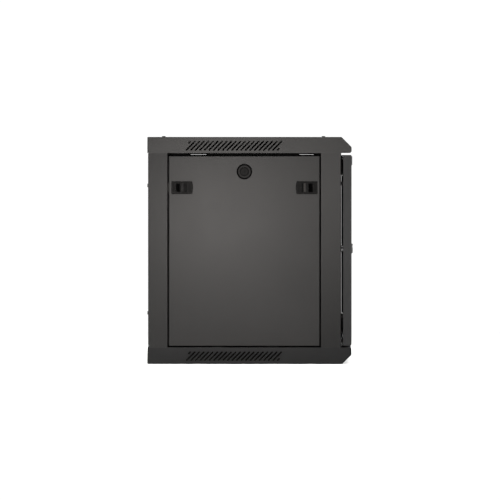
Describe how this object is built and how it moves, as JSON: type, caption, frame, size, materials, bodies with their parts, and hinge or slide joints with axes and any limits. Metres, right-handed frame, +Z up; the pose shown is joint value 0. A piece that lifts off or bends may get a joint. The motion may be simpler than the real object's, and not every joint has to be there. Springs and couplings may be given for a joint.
{
  "type": "wall-mount rack cabinet",
  "caption": "Wall-mount 19-inch rack cabinet with slotted covers, lift-off side panels on slide latches and a lock, and a hinged glazed front door.",
  "frame": {"origin": "middle of the underside of the bottom cover, on the standing plane", "axes": "+Z up, -Y towards the door, +Y towards the wall, -X towards the side panel seen in the picture"},
  "size_m": [0.604, 0.4533, 0.502],
  "materials": {
    "cover_paint": "fine textured powder coat, satin",
    "frame_paint": "fine textured powder coat, satin",
    "panel_paint": "fine textured powder coat, satin",
    "door_paint": "fine textured powder coat, satin",
    "rail_zinc": "zinc plated sheet",
    "fastener_zinc": "zinc plated",
    "screw_black": "black oxide",
    "hinge_paint": "black coated steel",
    "smoked_glass": "smoked safety glass",
    "black_rubber": "matt",
    "door_lock_metal": "black nickel, satin",
    "lock_zinc": "black zinc plated",
    "lock_black": "black, satin",
    "latch_plastic": "black, fine grain",
    "badge_plastic": "grey, satin, bare"
  },
  "bodies": {
    "cabinet": {"beam_screws": "screw_black", "bottom_cable_plate": "cover_paint", "bottom_cover": "cover_paint", "cable_plate_screws": "screw_black", "earth_terminal": "fastener_zinc", "front_left_rail": "rail_zinc", "front_right_rail": "rail_zinc", "hinge_pins": "screw_black", "hinge_post_screws": "screw_black", "left_front_post": "frame_paint", "left_rear_post": "frame_paint", "lower_hinge_post_leaf": "hinge_paint", "lower_left_beam": "rail_zinc", "lower_right_beam": "rail_zinc", "rail_bolts": "fastener_zinc", "rail_nuts": "fastener_zinc", "rear_left_rail": "rail_zinc", "rear_panel": "frame_paint", "rear_panel_screws": "screw_black", "rear_right_rail": "rail_zinc", "right_front_post": "frame_paint", "right_rear_post": "frame_paint", "top_cable_plate": "cover_paint", "top_cover": "cover_paint", "top_cover_screws": "screw_black", "top_cover_spacers": "screw_black", "upper_hinge_post_leaf": "hinge_paint", "upper_left_beam": "rail_zinc", "upper_right_beam": "rail_zinc"},
    "door": {"door_frame": "door_paint", "door_glass": "smoked_glass", "glass_gasket": "black_rubber", "glass_clips": "screw_black", "door_lock_housing": "door_lock_metal", "door_lock_nut": "lock_zinc", "door_bumpers": "black_rubber", "blank_badge": "badge_plastic", "upper_hinge_door_leaf": "hinge_paint", "lower_hinge_door_leaf": "hinge_paint", "door_screws": "screw_black"},
    "door_lock": {"door_lock_plug": "door_lock_metal", "door_lock_cam": "lock_zinc"},
    "left_panel": {"left_side_panel": "panel_paint", "left_panel_rest_pads": "black_rubber", "left_panel_lock_housing": "lock_black", "left_panel_lock_nut": "lock_zinc", "left_latch_housings": "latch_plastic"},
    "left_lock": {"left_panel_lock_plug": "lock_black", "left_panel_lock_cam": "lock_zinc"},
    "left_front_latch": {"left_front_latch_slider": "latch_plastic"},
    "left_rear_latch": {"left_rear_latch_slider": "latch_plastic"},
    "right_panel": {"right_side_panel": "panel_paint", "right_panel_rest_pads": "black_rubber", "right_panel_lock_housing": "lock_black", "right_panel_lock_nut": "lock_zinc", "right_latch_housings": "latch_plastic"},
    "right_lock": {"right_panel_lock_plug": "lock_black", "right_panel_lock_cam": "lock_zinc"},
    "right_front_latch": {"right_front_latch_slider": "latch_plastic"},
    "right_rear_latch": {"right_rear_latch_slider": "latch_plastic"}
  },
  "joints": [
    {"name": "door_swing", "type": "hinge", "parent": "cabinet", "child": "door", "pos_m": [0.2965, -0.2056, 0.25], "axis": [0, 0, 1], "range_deg": [0, 110]},
    {"name": "door_lock_turn", "type": "hinge", "parent": "door", "child": "door_lock", "pos_m": [-0.264, -0.2023, 0.254], "axis": [0, 1, 0], "range_deg": [0, 90]},
    {"name": "left_panel_tilt", "type": "hinge", "parent": "cabinet", "child": "left_panel", "pos_m": [-0.2945, 0.0112, 0.0364], "axis": [0, -1, 0], "range_deg": [0, 30]},
    {"name": "left_lock_turn", "type": "hinge", "parent": "left_panel", "child": "left_lock", "pos_m": [-0.2785, 0.0112, 0.4236], "axis": [1, 0, 0], "range_deg": [0, 90]},
    {"name": "left_front_latch_slide", "type": "slide", "parent": "left_panel", "child": "left_front_latch", "axis": [0, -1, 0], "range_m": [0, 0.0085]},
    {"name": "left_rear_latch_slide", "type": "slide", "parent": "left_panel", "child": "left_rear_latch", "axis": [0, 1, 0], "range_m": [-0.004, 0.0045]},
    {"name": "right_panel_tilt", "type": "hinge", "parent": "cabinet", "child": "right_panel", "pos_m": [0.2945, 0.0112, 0.0364], "axis": [0, 1, 0], "range_deg": [0, 30]},
    {"name": "right_lock_turn", "type": "hinge", "parent": "right_panel", "child": "right_lock", "pos_m": [0.2785, 0.0112, 0.4236], "axis": [1, 0, 0], "range_deg": [0, 90]},
    {"name": "right_front_latch_slide", "type": "slide", "parent": "right_panel", "child": "right_front_latch", "axis": [0, -1, 0], "range_m": [0, 0.0085]},
    {"name": "right_rear_latch_slide", "type": "slide", "parent": "right_panel", "child": "right_rear_latch", "axis": [0, 1, 0], "range_m": [-0.004, 0.0045]}
  ]
}
